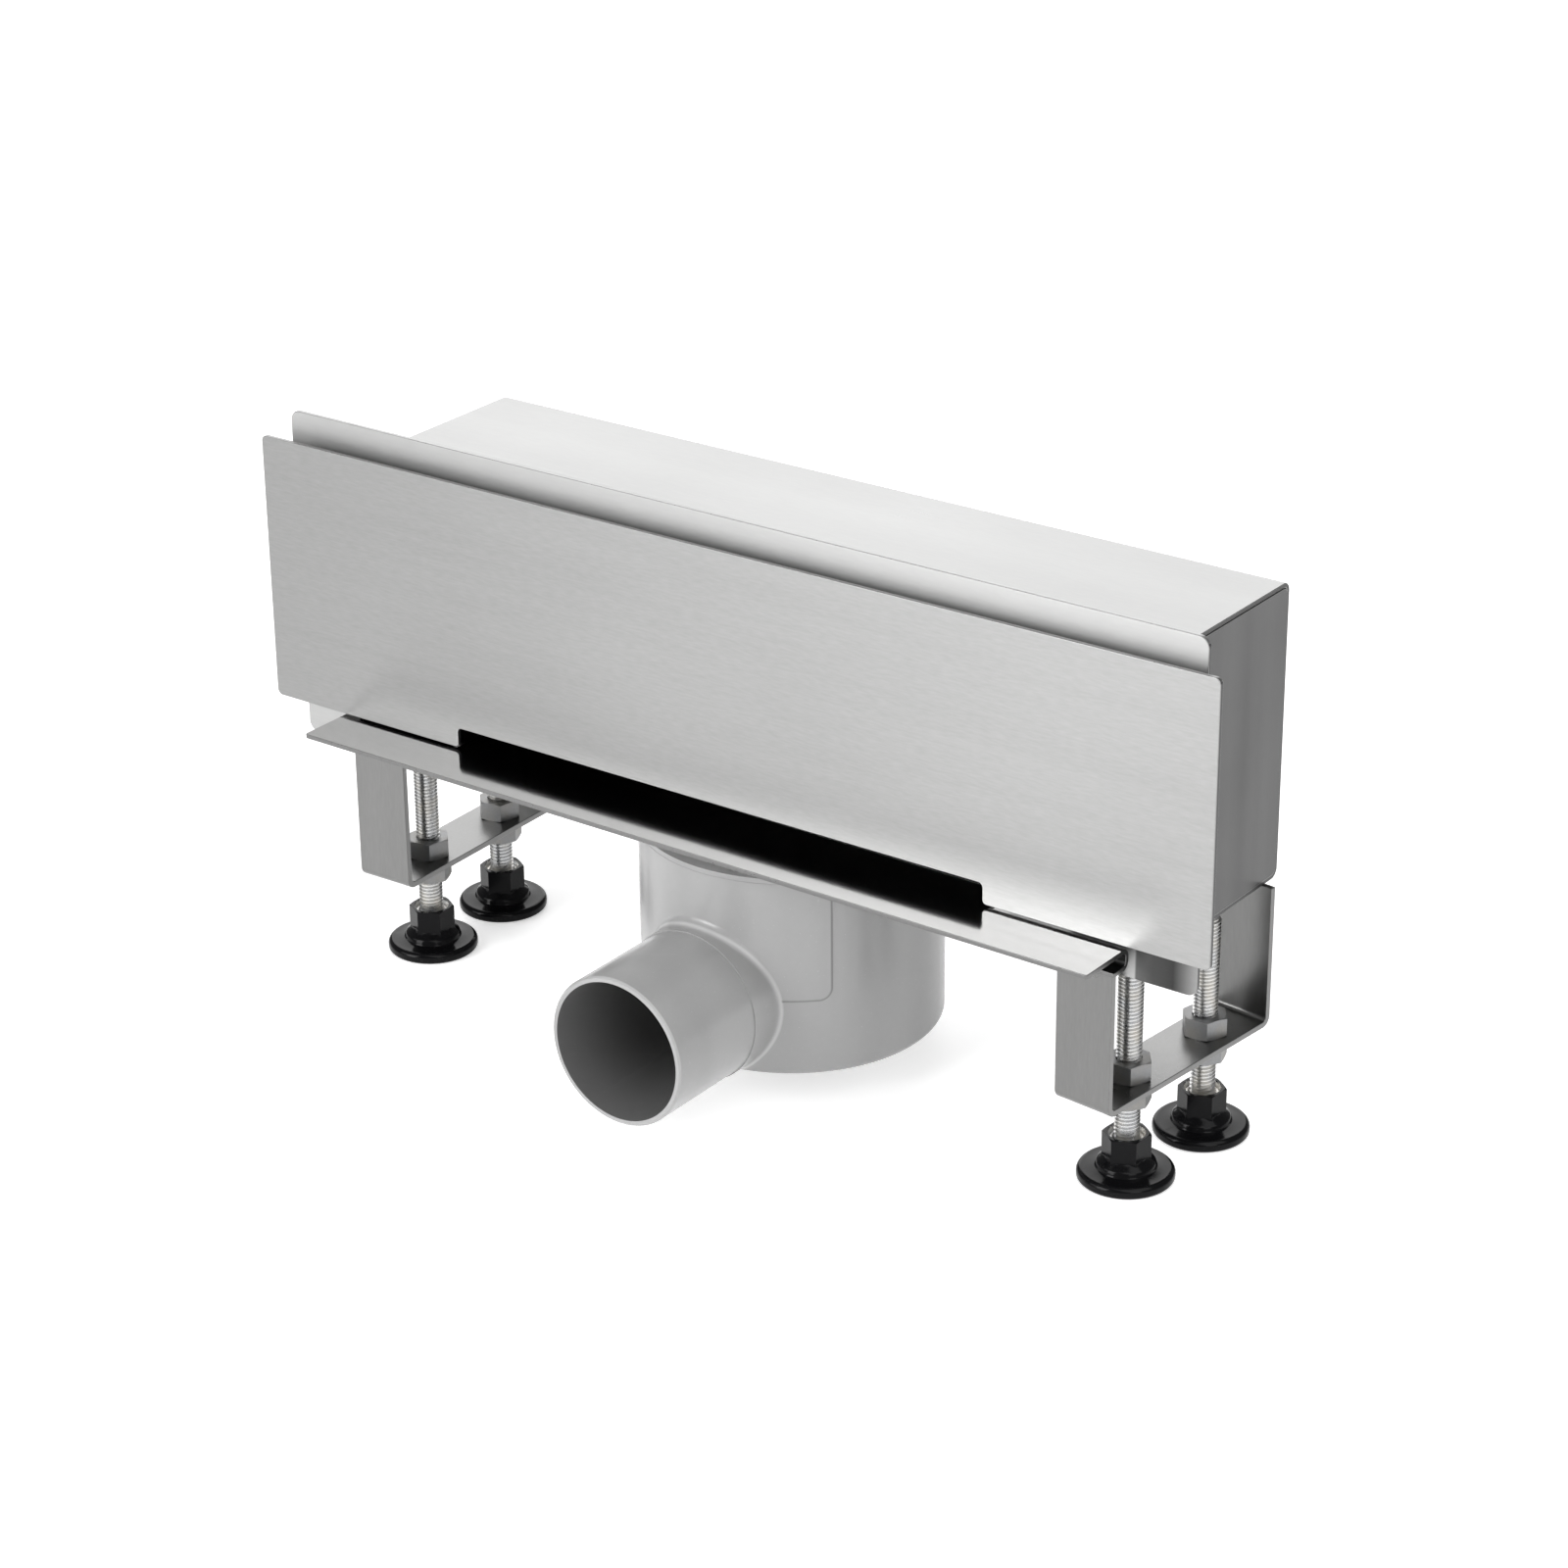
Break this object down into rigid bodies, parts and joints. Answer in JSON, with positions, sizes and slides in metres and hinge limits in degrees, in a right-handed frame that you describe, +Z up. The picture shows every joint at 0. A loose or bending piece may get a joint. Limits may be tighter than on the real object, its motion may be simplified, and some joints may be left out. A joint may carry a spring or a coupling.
{
  "type": "linear shower drain",
  "caption": "Wall-set linear shower drain: slotted front cover, folded sill, sheet box behind a flange, strip brackets on levelling feet and a moulded trap with a side outlet.",
  "frame": {"origin": "on the slab, under the middle of the whole drain", "axes": "+X along the drain to the right seen from the room, +Y from the room into the wall, +Z up"},
  "size_m": [0.36, 0.143, 0.1928],
  "materials": {
    "cover": "brushed along its length",
    "flange": "fine brushed",
    "housing": "cold rolled, satin",
    "end_sheet": "brushed upright",
    "sill": "polished along its length",
    "bracket": "satin",
    "zinc_rod": "zinc plated",
    "zinc_nut": "zinc plated",
    "foot": "moulded, glossy",
    "bush": "zinc plated",
    "neck": "satin",
    "trap": "moulded, satin",
    "seal": "matt",
    "insert": "moulded, satin",
    "strainer": "satin",
    "magnet": "nickel plated"
  },
  "bodies": {
    "root": {"cover_plate": "cover", "flange_frame": "flange", "housing_wrap": "housing", "left_end_sheet": "end_sheet", "right_end_sheet": "end_sheet", "inlet_sill": "sill", "left_bracket": "bracket", "right_bracket": "bracket", "outlet_neck": "neck", "trap_body": "trap", "trap_lid": "trap", "neck_seal": "seal", "insert_gasket": "seal", "dip_tube": "insert", "seal_cup": "insert", "strainer": "strainer", "lower_left_magnet": "magnet", "lower_right_magnet": "magnet", "upper_left_magnet": "magnet", "upper_right_magnet": "magnet", "front_left_rod": "zinc_rod", "front_left_upper_nut": "zinc_nut", "front_left_lower_nut": "zinc_nut", "front_left_foot": "foot", "front_left_bush": "bush", "rear_left_rod": "zinc_rod", "rear_left_upper_nut": "zinc_nut", "rear_left_lower_nut": "zinc_nut", "rear_left_foot": "foot", "rear_left_bush": "bush", "front_right_rod": "zinc_rod", "front_right_upper_nut": "zinc_nut", "front_right_lower_nut": "zinc_nut", "front_right_foot": "foot", "front_right_bush": "bush", "rear_right_rod": "zinc_rod", "rear_right_upper_nut": "zinc_nut", "rear_right_lower_nut": "zinc_nut", "rear_right_foot": "foot", "rear_right_bush": "bush"}
  },
  "joints": []
}
